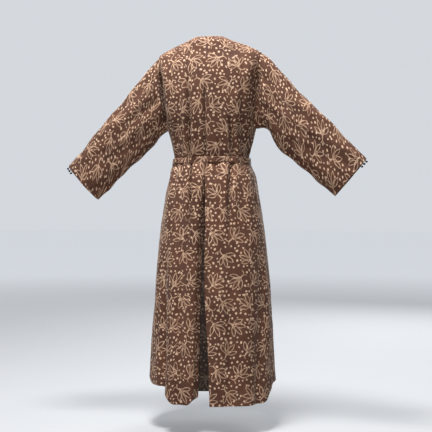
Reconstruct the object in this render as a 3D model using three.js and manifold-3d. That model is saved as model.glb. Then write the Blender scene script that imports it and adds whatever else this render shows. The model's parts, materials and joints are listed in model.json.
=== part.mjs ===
// A long wrap gown with three-quarter sleeves, a narrow tie belt and an inverted back pleat.
// Millimetres. The wearer faces +Y, the wearer's right is +X, and +Z is up. The origin is the middle
// of the neckline, level with the top of the back neck. Each cloth panel is a closed shell of its own.
import * as THREE from "three";
import { mergeVertices } from "three/addons/utils/BufferGeometryUtils.js";
import Module from "manifold-3d";

const wasm = await Module();
wasm.setup();

// ---- Driving dimensions ------------------------------------------------------------------------
const CLOTH = 2; // panel thickness, with its seam allowances
const FACING = 1.2; // thickness of a facing
const SEAM = 0.4; // clearance across a seam
const LAYER_CLEAR = 1.4; // clearance between one layer of cloth and the next
const LAYER = 7.5; // how far the right front lies outside the left front
const HEM_Z = -1320; // lower edge
const BELT_Z = -456; // middle of the belt, at the waist
const BELT_HEIGHT = 20;
const BELT_CLOTH = 2.4;
const NECK_EDGE_X = 50; // where a front edge starts beside the neck
const WRAP_X = 84; // how far each front passes the centre line at the waist
const WRAP_HEM_X = 120; // and at the hem
const CUFF_BAND = 38; // depth of the cuff facing
const FRONT_BAND = 28; // width of the front facing
const NECK_BAND = 26; // depth of the back neck facing
const SHOULDER = { x: 190, z: -64 }; // top of the armhole
const UNDERARM = { x: 164, z: -332 }; // bottom of the armhole
const ARMHOLE_GAP = 0.9; // between the body of the gown and the sleeve
const SLEEVE_LENGTH = 543; // along the top edge
const CUFF_WIDTH = 174;
const CUFF_HALF_DEPTH = 34;
const SLEEVE_DROP = { left: 48, right: 46 }; // degrees below the horizontal
const CUFF_TURN = 84; // degrees between the top edge and the cuff
const PLEAT_TOP_Z = -560; // top of the centre back pleat
const PLEAT_DEPTH = 24;
const PLEAT_HALF_GAP = 13; // half the pleat's opening at the hem
const BUTTON_RADIUS = 4.5;
const BUTTON_PITCH = 12;
const BUTTON_INSET = 8; // from the cuff's corner to the first button
const SHANK_LENGTH = 2.4;
const KNOT_ANGLE = 228; // where the belt is tied, in degrees round from the centre back
const KNOT_SIZE = { along: 24, out: 14, up: 26 };
const BOW_LOOP = { length: 46, halfHeight: 17, width: 6 };
const TIE_LENGTH = 330;
const TIE_WIDTH = 20;
const TIE_STANDOFF = 8; // from the gown's surface to the middle of the tie

// Half width, half depth and centre of the gown at each height: [z, half width, half depth, centre y].
const STATIONS = [
  [0, 60, 62, -22],
  [-14, 110, 72, -19],
  [-40, 158, 80, -16],
  [-64, 192, 86, -13],
  [-95, 204, 96, -11],
  [-200, 198, 112, -6],
  [-280, 182, 114, -3],
  [-335, 164, 112, 0],
  [-398, 147, 106, 0],
  [-436, 138, 101, 0],
  [-466, 143, 104, 0],
  [-490, 155, 114, 0],
  [-542, 170, 127, 0],
  [-618, 183, 137, 0],
  [-750, 201, 153, 0],
  [-950, 219, 173, 0],
  [-1140, 231, 190, 0],
  [HEM_Z, 240, 204, 0],
];
const SQUARENESS = 2.25; // 2 is an ellipse, more is squarer

// ---- Small helpers -----------------------------------------------------------------------------
const { degToRad, lerp, smoothstep, clamp } = THREE.MathUtils;

// Half width, half depth and centre of the gown at height z.
function station(z) {
  let i = 1;
  while (i < STATIONS.length - 1 && z < STATIONS[i][0]) i++;
  const [above, below] = [STATIONS[i - 1], STATIONS[i]];
  const t = (z - above[0]) / (below[0] - above[0]);
  return [1, 2, 3].map((column) => lerp(above[column], below[column], t));
}

// The heights from topZ down to bottomZ at which a panel has a row: its ends and the stations between.
function rowsBetween(topZ, bottomZ) {
  const between = STATIONS.map((s) => s[0]).filter((z) => z < topZ - 3 && z > bottomZ + 3);
  return [topZ, ...between, bottomZ];
}

const power = (value) => Math.sign(value) * Math.abs(value) ** (2 / SQUARENESS);

// A point of the gown's surface: angle in degrees from the centre back, through the wearer's right.
function skin(angle, z) {
  const [halfWidth, halfDepth, centre] = station(z);
  const a = degToRad(angle);
  return new THREE.Vector3(halfWidth * power(Math.sin(a)), centre - halfDepth * power(Math.cos(a)), z);
}

// The angle at which the front of the gown has that x.
function frontAngle(x, z) {
  const share = clamp(x / station(z)[0], -0.999, 0.999);
  return 180 - THREE.MathUtils.radToDeg(Math.asin(Math.sign(share) * Math.abs(share) ** (SQUARENESS / 2)));
}

// How far the layers over the left front stand out, by angle.
function wrapLift(angle) {
  return LAYER * smoothstep(angle, 118, 150) * (1 - smoothstep(angle, 222, 250));
}

// Outward normal of a surface given as point(u, v), by differences.
function normalOf(point, u, v) {
  const e = 1e-3;
  const du = point(u + e, v).sub(point(u - e, v));
  const dv = point(u, v + e).sub(point(u, v - e));
  return du.cross(dv).normalize();
}

// A geometry with its faces pointing out, from vertices and triangles.
function closedGeometry(vertices, triangles) {
  let volume = 0;
  const v = (k) => new THREE.Vector3().fromArray(vertices, 3 * k);
  for (let i = 0; i < triangles.length; i += 3) {
    volume += v(triangles[i]).dot(v(triangles[i + 1]).cross(v(triangles[i + 2])));
  }
  const facingOut = volume > 0 ? triangles : triangles.slice().reverse();
  return new THREE.BufferGeometry()
    .setAttribute("position", new THREE.Float32BufferAttribute(vertices, 3))
    .setIndex(facingOut);
}

// A closed sheet of cloth over point(u, v) for u and v from 0 to 1. lift(u, v) moves it along its normal.
// round closes it into a tube in u.
function sheet(point, nu, nv, { thickness = CLOTH, lift = () => 0, round = false } = {}) {
  const columns = round ? nu : nu + 1;
  const vertices = [];
  for (const side of [0.5, -0.5]) {
    for (let j = 0; j <= nv; j++) {
      for (let i = 0; i < columns; i++) {
        const [u, v] = [i / nu, j / nv];
        const n = normalOf(point, u, v);
        vertices.push(...point(u, v).addScaledVector(n, lift(u, v) + side * thickness));
      }
    }
  }
  const at = (side, i, j) => side * columns * (nv + 1) + j * columns + (i % columns);
  const triangles = [];
  const quad = (a, b, c, d) => triangles.push(a, b, c, a, c, d);
  for (let j = 0; j < nv; j++) {
    for (let i = 0; i < nu; i++) {
      quad(at(0, i, j), at(0, i + 1, j), at(0, i + 1, j + 1), at(0, i, j + 1));
      quad(at(1, i, j + 1), at(1, i + 1, j + 1), at(1, i + 1, j), at(1, i, j));
    }
  }
  for (let i = 0; i < nu; i++) {
    quad(at(1, i, 0), at(1, i + 1, 0), at(0, i + 1, 0), at(0, i, 0));
    quad(at(0, i, nv), at(0, i + 1, nv), at(1, i + 1, nv), at(1, i, nv));
  }
  for (let j = 0; j < nv && !round; j++) {
    quad(at(0, 0, j), at(0, 0, j + 1), at(1, 0, j + 1), at(1, 0, j));
    quad(at(1, nu, j), at(1, nu, j + 1), at(0, nu, j + 1), at(0, nu, j));
  }
  return closedGeometry(vertices, triangles);
}

function solidOf(geometry) {
  const bare = geometry.clone();
  bare.deleteAttribute("normal");
  bare.deleteAttribute("uv");
  const merged = mergeVertices(bare, 1e-3);
  return new wasm.Manifold(
    new wasm.Mesh({
      numProp: 3,
      vertProperties: merged.attributes.position.array,
      triVerts: new Uint32Array(merged.index.array),
    }),
  );
}

function geometryOf(solid) {
  const mesh = solid.getMesh();
  return new THREE.BufferGeometry()
    .setAttribute("position", new THREE.BufferAttribute(mesh.vertProperties, 3))
    .setIndex(new THREE.BufferAttribute(mesh.triVerts, 1));
}

const cut = (geometry, ...cutters) =>
  geometryOf(cutters.reduce((solid, cutter) => solid.subtract(solidOf(cutter)), solidOf(geometry)));

const join = (...geometries) =>
  geometryOf(geometries.slice(1).reduce((solid, g) => solid.add(solidOf(g)), solidOf(geometries[0])));

// ---- Materials and the group -------------------------------------------------------------------
const cloth = new THREE.MeshStandardMaterial({ color: 0x76543f, roughness: 0.85, metalness: 0 });
const lining = new THREE.MeshStandardMaterial({ color: 0x5a3d2e, roughness: 0.9, metalness: 0 });
const black = new THREE.MeshStandardMaterial({ color: 0x121214, roughness: 0.35, metalness: 0 });

const gown = new THREE.Group();

function add(name, geometry, material = cloth) {
  const mesh = new THREE.Mesh(geometry, material);
  mesh.name = name;
  gown.add(mesh);
  return mesh;
}

// A panel between two edges, each an angle as a function of z, from topZ down to bottomZ.
function panel(from, to, topZ, bottomZ, columns, options = {}) {
  const { liftBy = () => 0, rows = rowsBetween(topZ, bottomZ), ...rest } = options;
  const z = (v) => {
    const place = v * (rows.length - 1);
    const i = clamp(Math.floor(place), 0, rows.length - 2);
    return lerp(rows[i], rows[i + 1], place - i);
  };
  const angle = (u, v) => lerp(from(z(v)), to(z(v)), u);
  const outward = from(bottomZ) < to(bottomZ) ? -1 : 1;
  return sheet((u, v) => skin(angle(u, v), z(v)), columns, rows.length - 1, {
    ...rest,
    lift: (u, v) => outward * liftBy(angle(u, v), z(v)),
  });
}

const widthInDegrees = (mm, z) => THREE.MathUtils.radToDeg(mm / station(z)[0]);

// The angle that leaves a clearance of mm beside a seam at that angle.
const beside = (angle, mm) => (z) => angle + widthInDegrees(mm, z);

// ---- Body of the gown: two backs and two fronts, from the neck to the hem -------------------------
const armholeTilt = Math.atan2(SHOULDER.x - UNDERARM.x, SHOULDER.z - UNDERARM.z);
const armholeHeight = Math.hypot(SHOULDER.x - UNDERARM.x, SHOULDER.z - UNDERARM.z);

// Everything outside the right armhole's plane, and its mirror image for the left.
function armholeCutter() {
  const size = 400;
  const box = new THREE.BoxGeometry(size, size, armholeHeight + 110);
  box.translate(size / 2, 0, 30);
  box.rotateY(armholeTilt);
  return box.translate((SHOULDER.x + UNDERARM.x) / 2, 0, (SHOULDER.z + UNDERARM.z) / 2);
}
function mirrored(geometry) {
  const flat = geometry.clone().scale(-1, 1, 1);
  return closedGeometry([...flat.attributes.position.array], [...flat.index.array]);
}
const rightArmhole = armholeCutter();
const leftArmhole = mirrored(rightArmhole);
const half = SEAM / 2;

// Half the pleat's opening, from nothing at its top to its full width at the hem, as an angle.
const pleatHalf = (z) => PLEAT_HALF_GAP * clamp((PLEAT_TOP_Z - z) / (PLEAT_TOP_Z - HEM_Z), 0, 1);
const pleatAngle = (z) => widthInDegrees(pleatHalf(z) + half, z) * 0.8;
add("back_right", cut(panel(pleatAngle, beside(90, -half), 0, HEM_Z, 10), rightArmhole));
add("back_left", cut(panel((z) => -pleatAngle(z), beside(-90, half), 0, HEM_Z, 10), leftArmhole));

// x of the right front's free edge: slanting to the waist, then slightly further over to the hem.
function edgeX(z) {
  const above = clamp(z / BELT_Z, 0, 1);
  const below = clamp((z - BELT_Z) / (HEM_Z - BELT_Z), 0, 1);
  return lerp(NECK_EDGE_X, -WRAP_X, above ** 1.25) - (WRAP_HEM_X - WRAP_X) * below;
}
const rightEdge = (z) => frontAngle(edgeX(z), z);
const leftEdge = (z) => frontAngle(-edgeX(z), z);
const lifted = (by) => (angle) => wrapLift(angle) + by;

// The lower corner of the right front folds back along a line from the belt to the hem.
const FOLD_TOP_Z = BELT_Z - 44;
const FOLD_HEM_X = 60;
const FOLD_CLEAR = 2.6;
const foldX = (z) => lerp(edgeX(FOLD_TOP_Z) + 16, FOLD_HEM_X, (z - FOLD_TOP_Z) / (HEM_Z - FOLD_TOP_Z));
function beyondFold() {
  const outline = new THREE.Shape();
  outline.moveTo(foldX(FOLD_TOP_Z), FOLD_TOP_Z);
  outline.lineTo(foldX(HEM_Z - 40), HEM_Z - 40);
  outline.lineTo(-400, HEM_Z - 40);
  outline.lineTo(-400, FOLD_TOP_Z);
  outline.closePath();
  const wedge = new THREE.ExtrudeGeometry(outline, { depth: 500, bevelEnabled: false });
  return wedge.rotateX(Math.PI / 2).translate(0, 500, 0);
}
const frontRight = panel(beside(90, half), rightEdge, 0, HEM_Z, 15, { liftBy: lifted(0) });
add("front_right", cut(frontRight, rightArmhole, beyondFold()));
add("front_left", cut(panel(beside(270, -half), leftEdge, 0, HEM_Z, 13), leftArmhole));
const foldAngle = (z) => frontAngle(foldX(z) - FOLD_CLEAR, z);
const flapTopZ = FOLD_TOP_Z - FOLD_CLEAR;
add("front_right_flap", panel(foldAngle, rightEdge, flapTopZ, HEM_Z, 8, { liftBy: lifted(0) }));

// The pleat's underlay is a channel behind the opening: two returns and a back.
function pleatUnderlay() {
  const reach = CLOTH + LAYER_CLEAR / 2; // from the middle of the backs to the middle of the underlay's edges
  const place = (u, v) => {
    const z = lerp(PLEAT_TOP_Z - 20, HEM_Z + 4, v);
    const across = pleatHalf(z) + 10;
    const depth = PLEAT_DEPTH * clamp((PLEAT_TOP_Z - z) / 200, 0.25, 1);
    const profile = [
      [-across, reach],
      [-across - 4, depth],
      [0, depth],
      [across + 4, depth],
      [across, reach],
    ];
    const step = clamp(u * 4, 0, 3.9999);
    const k = Math.floor(step);
    const [x, inward] = [0, 1].map((c) => lerp(profile[k][c], profile[k + 1][c], step - k));
    return new THREE.Vector3(x, skin(0, z).y + inward, z);
  };
  return sheet(place, 4, 8);
}
add("back_pleat_underlay", pleatUnderlay());

// ---- Facings -----------------------------------------------------------------------------------
const facingDrop = -(CLOTH / 2 + LAYER_CLEAR + FACING / 2);
const bandEdge = (edge, sign) => (z) => edge(z) - sign * widthInDegrees(FRONT_BAND, z);
const frontFacing = (edge, sign, liftBy) =>
  panel(bandEdge(edge, sign), edge, -NECK_BAND, HEM_Z + 2, 3, { liftBy, thickness: FACING });
add("front_facing_left", frontFacing(leftEdge, -1, () => facingDrop), lining);
const rightFacingTop = panel(bandEdge(rightEdge, 1), rightEdge, -NECK_BAND, FOLD_TOP_Z + 2, 3, {
  liftBy: lifted(facingDrop),
  thickness: FACING,
});
add("front_facing_right", rightFacingTop, lining);
const flapFacing = panel(bandEdge(rightEdge, 0.5), rightEdge, flapTopZ - 2, HEM_Z + 2, 3, {
  liftBy: lifted(facingDrop + LAYER_CLEAR / 2),
  thickness: FACING,
});
add("front_facing_flap", flapFacing, lining);
const neckFacing = panel(() => -88, () => 88, -1, SEAM - NECK_BAND, 18, {
  liftBy: () => facingDrop,
  thickness: FACING,
});
add("back_neck_facing", neckFacing, lining);

// ---- Belt --------------------------------------------------------------------------------------
const beltTop = BELT_Z + BELT_HEIGHT / 2;
const beltBottom = BELT_Z - BELT_HEIGHT / 2;
const beltLift = CLOTH / 2 + LAYER_CLEAR + BELT_CLOTH / 2;
const beltOuter = beltLift + BELT_CLOTH / 2;
const knotReach = widthInDegrees(KNOT_SIZE.along / 2 - 2, BELT_Z); // the belt's ends go in under the knot
const belt = panel(() => KNOT_ANGLE - 360 + knotReach, () => KNOT_ANGLE - knotReach, beltTop, beltBottom, 48, {
  thickness: BELT_CLOTH,
  liftBy: (angle) => wrapLift((angle + 360) % 360) + beltLift,
});
add("belt_band", belt);

// A carrier is a short loop of cloth over the belt at each side seam, sewn down above and below it.
const CARRIER = { width: 8, cloth: 1.4, over: 6 };
function carrier(angle) {
  const reach = beltOuter + LAYER_CLEAR / 2 + CARRIER.cloth / 2;
  const turn = widthInDegrees(CARRIER.width / 2, BELT_Z);
  const [topZ, bottomZ] = [beltTop + CARRIER.over, beltBottom - CARRIER.over];
  const sewn = CLOTH / 2 + CARRIER.cloth / 2 + SEAM;
  return panel(() => angle - turn, () => angle + turn, topZ, bottomZ, 1, {
    thickness: CARRIER.cloth,
    rows: [topZ, topZ - 3, beltTop + 1, BELT_Z, beltBottom - 1, bottomZ + 3, bottomZ],
    liftBy: (_, z) => (z > beltTop + 2 || z < beltBottom - 2 ? sewn : reach),
  });
}
add("belt_carrier_right", carrier(92));
add("belt_carrier_left", carrier(-92));

// The knot, the two loops of the bow and the two hanging ends, on the wearer's left front.
const knotAt = skin(KNOT_ANGLE, BELT_Z);
const knotOut = new THREE.Vector3(Math.sin(degToRad(KNOT_ANGLE)), -Math.cos(degToRad(KNOT_ANGLE)), 0);
const knotAlong = new THREE.Vector3(knotOut.y, -knotOut.x, 0);
const knotMiddle = wrapLift(KNOT_ANGLE) + CLOTH / 2 + LAYER_CLEAR + KNOT_SIZE.out / 2 + 0.6;

// Places a geometry made in the knot's own frame: x along the belt, y out from the body, z up.
function atKnot(geometry) {
  const frame = new THREE.Matrix4().makeBasis(knotAlong, knotOut, new THREE.Vector3(0, 0, 1));
  return geometry.applyMatrix4(frame.setPosition(knotAt.clone().addScaledVector(knotOut, knotMiddle)));
}
const ball = new THREE.SphereGeometry(0.5, 12, 8);
add("belt_knot", atKnot(ball.scale(KNOT_SIZE.along, KNOT_SIZE.out, KNOT_SIZE.up)));

// One loop of the bow: a flattened teardrop beside the knot, turned down a little.
function bowLoop(side) {
  const { length, halfHeight, width } = BOW_LOOP;
  const start = KNOT_SIZE.along / 2 + SEAM;
  const outline = new THREE.Shape();
  outline.moveTo(start, 0);
  outline.bezierCurveTo(start + 20, 0.7 * halfHeight, start + length, 1.3 * halfHeight, start + length, 0);
  outline.bezierCurveTo(start + length, -1.3 * halfHeight, start + 20, -0.7 * halfHeight, start, 0);
  const solid = new THREE.ExtrudeGeometry(outline, { depth: width, bevelEnabled: false, curveSegments: 7 });
  solid.translate(0, 0, -width / 2).rotateX(Math.PI / 2);
  if (side < 0) solid.rotateZ(Math.PI);
  return atKnot(solid.rotateY(side * degToRad(8)));
}
add("bow_loop_front", bowLoop(1));
add("bow_loop_side", bowLoop(-1));

// A tie end hangs from below the knot and lies against the flare of the skirt.
const tieTopZ = BELT_Z - KNOT_SIZE.up / 2 - 5.3;
const TIE_SPREAD = 4.8; // degrees from the knot's angle to each tie's middle
function tieEnd(side) {
  const middle = (z) => KNOT_ANGLE + side * (TIE_SPREAD + (1.5 * (tieTopZ - z)) / TIE_LENGTH);
  const turn = (z) => widthInDegrees(TIE_WIDTH / 2, z) * 0.8;
  return panel((z) => middle(z) - turn(z), (z) => middle(z) + turn(z), tieTopZ, tieTopZ - TIE_LENGTH, 2, {
    thickness: BELT_CLOTH,
    liftBy: (angle) => wrapLift(angle) + TIE_STANDOFF,
  });
}
add("tie_end_front", tieEnd(-1));
add("tie_end_side", tieEnd(1));

// ---- Sleeves -----------------------------------------------------------------------------------
// The armhole is the curve where its slanting plane cuts the body of the gown.
const armholeX = (z) => lerp(SHOULDER.x, UNDERARM.x, (z - SHOULDER.z) / (UNDERARM.z - SHOULDER.z));

// The height between inside and outside at which the gown's side reaches the plane.
function armholeEnd(inside, outside) {
  let [low, high] = [inside, outside];
  for (let i = 0; i < 30; i++) {
    const middle = (low + high) / 2;
    if (station(middle)[0] > armholeX(middle)) low = middle;
    else high = middle;
  }
  return low;
}
const armholeTopZ = armholeEnd((SHOULDER.z + UNDERARM.z) / 2, 0);
const armholeBottomZ = armholeEnd((SHOULDER.z + UNDERARM.z) / 2, BELT_Z);

// A point of the armhole. share runs from the top point (0) round the back to the underarm (0.5) and
// returns round the front.
function armholePoint(side, share) {
  const z = lerp(armholeBottomZ, armholeTopZ, 0.5 + 0.5 * Math.cos(2 * Math.PI * share));
  const [halfWidth, halfDepth, centre] = station(z);
  const x = armholeX(z);
  const rest = Math.max(0, 1 - (x / halfWidth) ** SQUARENESS) ** (1 / SQUARENESS);
  const y = centre - Math.sign(Math.sin(2 * Math.PI * share)) * halfDepth * rest;
  return new THREE.Vector3(side * (x + ARMHOLE_GAP), y, z);
}

function sleeveFrame(side) {
  const drop = degToRad(side > 0 ? SLEEVE_DROP.right : SLEEVE_DROP.left);
  const turn = drop + degToRad(CUFF_TURN);
  const along = new THREE.Vector3(side * Math.cos(drop), 0, -Math.sin(drop));
  const across = new THREE.Vector3(side * Math.cos(turn), 0, -Math.sin(turn));
  const cuffTop = armholePoint(side, 0).addScaledVector(along, SLEEVE_LENGTH);
  const cuffUnder = cuffTop.clone().addScaledVector(across, CUFF_WIDTH);
  return { side, along, across, cuffTop, cuffUnder };
}

// A point of the sleeve: share round it as at the armhole, s from the armhole (0) to the cuff (1).
const CUFF_SQUARENESS = 1.9; // a little sharper than an ellipse at the top and bottom edges
function sleevePoint(frame, share, s) {
  const turn = 2 * Math.PI * share;
  const bend = (value) => Math.sign(value) * Math.abs(value) ** (2 / CUFF_SQUARENESS);
  const half = frame.cuffTop.clone().sub(frame.cuffUnder).multiplyScalar(0.5);
  const cuff = frame.cuffTop.clone().sub(half).addScaledVector(half, bend(Math.cos(turn)));
  cuff.y -= CUFF_HALF_DEPTH * bend(Math.sin(turn));
  return armholePoint(frame.side, share).lerp(cuff, s);
}

// One half of a sleeve, behind or in front, or the whole ring of the cuff facing.
function sleeveHalf(frame, back) {
  const clear = 0.0012;
  const [from, to] = back ? [clear, 0.5 - clear] : [0.5 + clear, 1 - clear];
  return sheet((u, v) => sleevePoint(frame, lerp(from, to, u), v), 10, 8);
}
function cuffFacing(frame) {
  const from = 1 - CUFF_BAND / SLEEVE_LENGTH;
  const place = (u, v) => sleevePoint(frame, u, lerp(from, 0.998, v));
  const sign = normalOf(place, 0.25, 0.5).y < 0 ? 1 : -1;
  return sheet(place, 20, 1, { round: true, thickness: FACING, lift: () => -sign * (CLOTH / 2 + SEAM + FACING / 2) });
}

// Ball buttons stand along the cuff's edge from the top seam, each sewn on by its shank.
function cuffButton(frame, index) {
  const reach = SEAM + SHANK_LENGTH + BUTTON_RADIUS;
  const down = BUTTON_INSET + index * BUTTON_PITCH;
  const at = frame.cuffTop.clone().addScaledVector(frame.across, down);
  const ballGeometry = new THREE.SphereGeometry(BUTTON_RADIUS, 12, 8);
  const shank = new THREE.CylinderGeometry(1.3, 1.3, SHANK_LENGTH + 2, 8);
  shank.translate(0, -BUTTON_RADIUS - SHANK_LENGTH / 2 + 1, 0);
  const button = join(ballGeometry, shank);
  const turn = new THREE.Quaternion().setFromUnitVectors(new THREE.Vector3(0, 1, 0), frame.along);
  button.applyQuaternion(turn);
  const edge = at.addScaledVector(frame.along, reach);
  const share = Math.acos((1 - (2 * down) / CUFF_WIDTH) ** (CUFF_SQUARENESS / 2)) / (2 * Math.PI);
  const behind = sleevePoint(frame, share, 1).y;
  return button.translate(edge.x, behind, edge.z);
}

for (const [name, side] of [
  ["left", -1],
  ["right", 1],
]) {
  const frame = sleeveFrame(side);
  add(`sleeve_${name}_back`, sleeveHalf(frame, true));
  add(`sleeve_${name}_front`, sleeveHalf(frame, false));
  add(`cuff_facing_${name}`, cuffFacing(frame), lining);
  for (const index of [0, 1, 2]) add(`cuff_button_${name}_${index + 1}`, cuffButton(frame, index), black);
}

export default gown;
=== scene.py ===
"""A long printed wrap gown, drawn round its CAD frame. Metres; the wearer faces +Y and +X is their right."""

import json
import math

import bmesh
import bpy
import numpy as np
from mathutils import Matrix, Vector, noise


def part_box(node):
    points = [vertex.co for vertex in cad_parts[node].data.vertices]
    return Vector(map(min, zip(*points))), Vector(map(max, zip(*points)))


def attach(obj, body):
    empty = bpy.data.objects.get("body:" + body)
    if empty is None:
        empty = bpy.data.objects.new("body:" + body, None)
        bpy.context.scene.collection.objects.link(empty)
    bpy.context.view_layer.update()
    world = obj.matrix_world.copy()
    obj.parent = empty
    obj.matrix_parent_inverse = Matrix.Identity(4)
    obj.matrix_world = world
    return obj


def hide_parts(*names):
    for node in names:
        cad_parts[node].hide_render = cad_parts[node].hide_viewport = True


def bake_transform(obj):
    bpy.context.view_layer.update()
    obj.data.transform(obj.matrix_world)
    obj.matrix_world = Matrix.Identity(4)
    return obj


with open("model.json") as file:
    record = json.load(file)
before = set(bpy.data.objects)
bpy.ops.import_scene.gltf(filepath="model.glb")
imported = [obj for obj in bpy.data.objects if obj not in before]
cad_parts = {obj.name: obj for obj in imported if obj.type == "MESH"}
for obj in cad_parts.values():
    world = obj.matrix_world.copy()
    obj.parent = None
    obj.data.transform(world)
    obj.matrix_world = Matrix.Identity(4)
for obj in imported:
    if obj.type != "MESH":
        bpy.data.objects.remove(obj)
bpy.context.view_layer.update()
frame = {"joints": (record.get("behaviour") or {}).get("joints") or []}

# ---- Sizes --------------------------------------------------------------------------------------
CLOTH = 0.0008  # thickness of one layer of cloth
SQUARENESS = 2.25  # of the body's cross-section: 2 is an ellipse
BELT_Z = sum(corner[2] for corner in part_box("belt_band")) / 2
BELT_HEIGHT = 0.019
HEM_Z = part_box("back_right")[0][2]
LAYER = 0.0075  # how far the right front lies outside the left front
SHOULDER = (0.190, -0.064)  # x and z of the top of the armhole's plane
UNDERARM = (0.164, -0.332)
NECK_EDGE_X = 0.050
WRAP_X = 0.084
WRAP_HEM_X = 0.120
SLEEVE_LENGTH = 0.543
SLEEVE_DROP = {-1: math.radians(48), 1: math.radians(46)}
CUFF_TURN = math.radians(84)
CUFF_WIDTH = 0.174
CUFF_HALF_DEPTH = 0.034
CUFF_SQUARENESS = 1.9
KNOT_ANGLE = math.radians(228)
KNOT_HALF = (0.0117, 0.0068, 0.0126)  # along the belt, out from the body, and up
LOOP_START = 0.0125  # from the middle of the knot
LOOP_REACH = 0.0450
TIE_STAND_OFF = 0.0088  # of the tie ends, from the plain skin of the body
PLEAT_DEPTH = 0.037  # from the skin to the cloth behind the pleat's opening
PLEAT_TOP = -0.555  # where the centre seam ends and the pleat opens
FACING_CLOTH = 0.0006
FACING_GAP = 0.0007  # between a facing and the cloth it lies on
BELT_CLOTH = 0.0016
LOOP_CLOTH = 0.0010
CARRIER_CLOTH = 0.0011
CARRIER_HALF_WIDTH = 0.0036
TIE_HALF_WIDTH = 0.0092
BUTTON_RADIUS = 0.0045
BUTTON_PITCH = 0.012
BUTTON_INSET = 0.008
SHANK_LENGTH = 0.0024
BUTTON_SIDES = 28
CUFF_FACING = 0.038
FRONT_FACING = 0.027
NECK_FACING = 0.026
HEM_STITCH = 0.022  # from the hem to its row of stitches
FLOOR_Z = -1.42
FLOOR_HALF = 40
SHARP_ANGLE = math.radians(62)  # between two faces that meet in a hard edge
BODY_MIDDLE = (0, 0, -0.7)
SIDE_NAME = {1: "right", -1: "left"}
BELT_MIDDLE = (0, 0, BELT_Z)
WAIST_RADIUS = 0.12  # near enough, for lengths along the belt
SIDE_RADIUS = 0.14  # the same at the side seams

# Half width, half depth and centre of the body at each height, as in the CAD: z, x, y, centre.
STATIONS = np.array(
    [
        (0.012, 0.052, 0.058, -0.024),
        (0.000, 0.060, 0.062, -0.022),
        (-0.014, 0.110, 0.072, -0.019),
        (-0.040, 0.158, 0.080, -0.016),
        (-0.064, 0.192, 0.086, -0.013),
        (-0.095, 0.204, 0.096, -0.011),
        (-0.200, 0.198, 0.112, -0.006),
        (-0.280, 0.182, 0.114, -0.003),
        (-0.335, 0.164, 0.112, 0.0),
        (-0.398, 0.147, 0.106, 0.0),
        (-0.436, 0.138, 0.101, 0.0),
        (-0.466, 0.143, 0.104, 0.0),
        (-0.490, 0.155, 0.114, 0.0),
        (-0.542, 0.170, 0.127, 0.0),
        (-0.618, 0.183, 0.137, 0.0),
        (-0.750, 0.201, 0.153, 0.0),
        (-0.950, 0.219, 0.173, 0.0),
        (-1.140, 0.231, 0.190, 0.0),
        (-1.340, 0.241, 0.205, 0.0),
    ]
)


# ---- Small functions ----------------------------------------------------------------------------
def smooth(value, low, high):
    """0 below low, 1 above high, smooth between; low may be above high."""
    t = np.clip((np.asarray(value, float) - low) / (high - low), 0, 1)
    return t * t * (3 - 2 * t)


def bump(value, centre, width):
    return np.exp(-(((np.asarray(value, float) - centre) / width) ** 2))


def signed_power(value, power):
    return np.sign(value) * np.abs(value) ** power


def smooth_profile():
    """The stations joined by smooth curves, as a fine table."""
    z, values = STATIONS[::-1, 0], STATIONS[::-1, 1:]
    slopes = np.gradient(values, z, axis=0)
    fine = np.linspace(z[0], z[-1], 1600)
    i = np.clip(np.searchsorted(z, fine) - 1, 0, len(z) - 2)
    step = (z[i + 1] - z[i])[:, None]
    t = ((fine - z[i]) / (z[i + 1] - z[i]))[:, None]
    curve = (
        (2 * t**3 - 3 * t**2 + 1) * values[i]
        + (t**3 - 2 * t**2 + t) * step * slopes[i]
        + (3 * t**2 - 2 * t**3) * values[i + 1]
        + (t**3 - t**2) * step * slopes[i + 1]
    )
    return fine, curve


PROFILE_Z, PROFILE = smooth_profile()


def section(z):
    """Half width, half depth and centre y at each height."""
    return [np.interp(z, PROFILE_Z, PROFILE[:, k]) for k in range(3)]


def skin(angle, z):
    """The plain surface of the body. The angle runs from the centre back through the wearer's right."""
    half_width, half_depth, centre = section(z)
    x = half_width * signed_power(np.sin(angle), 2 / SQUARENESS)
    y = centre - half_depth * signed_power(np.cos(angle), 2 / SQUARENESS)
    return np.stack([x, y, np.broadcast_to(z, x.shape)], axis=-1)


def side_angle(share):
    """The angle from the centre back or front at which x is that share of the half width."""
    share = np.clip(share, -0.9999, 0.9999)
    return np.arcsin(signed_power(share, SQUARENESS / 2))


def armhole_x(z):
    return np.interp(z, (UNDERARM[1], SHOULDER[1]), (UNDERARM[0], SHOULDER[0]))


def armhole_end(inside, outside):
    """The height between the two where the armhole's line meets the side of the body."""
    for _ in range(40):
        middle = (inside + outside) / 2
        if section(middle)[0] > armhole_x(middle):
            inside = middle
        else:
            outside = middle
    return inside


ARM_MIDDLE = (SHOULDER[1] + UNDERARM[1]) / 2
ARM_TOP = armhole_end(ARM_MIDDLE, 0.0)
ARM_BOTTOM = armhole_end(ARM_MIDDLE, BELT_Z)


def side_edge(z):
    """The angle, from the centre line, of a panel's outer edge: the armhole, or the side or shoulder seam."""
    half_width = section(z)[0]
    inside = (z < ARM_TOP) & (z > ARM_BOTTOM)
    return np.where(inside, side_angle(armhole_x(z) / half_width), math.pi / 2)


def cloud(points, scale, seed):
    """Smooth noise from -1 to 1 at the points, stretched by scale = sizes along x, y and z."""
    flat = points.reshape(-1, 3) / np.array(scale) + seed * 7.31
    values = [noise.noise(Vector(p)) for p in flat]
    return np.array(values).reshape(points.shape[:-1])


def grid_normals(p):
    along = np.gradient(p, axis=1)
    down = np.gradient(p, axis=0)
    n = np.cross(along, down)
    return n / np.maximum(np.linalg.norm(n, axis=-1, keepdims=True), 1e-12)


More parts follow.
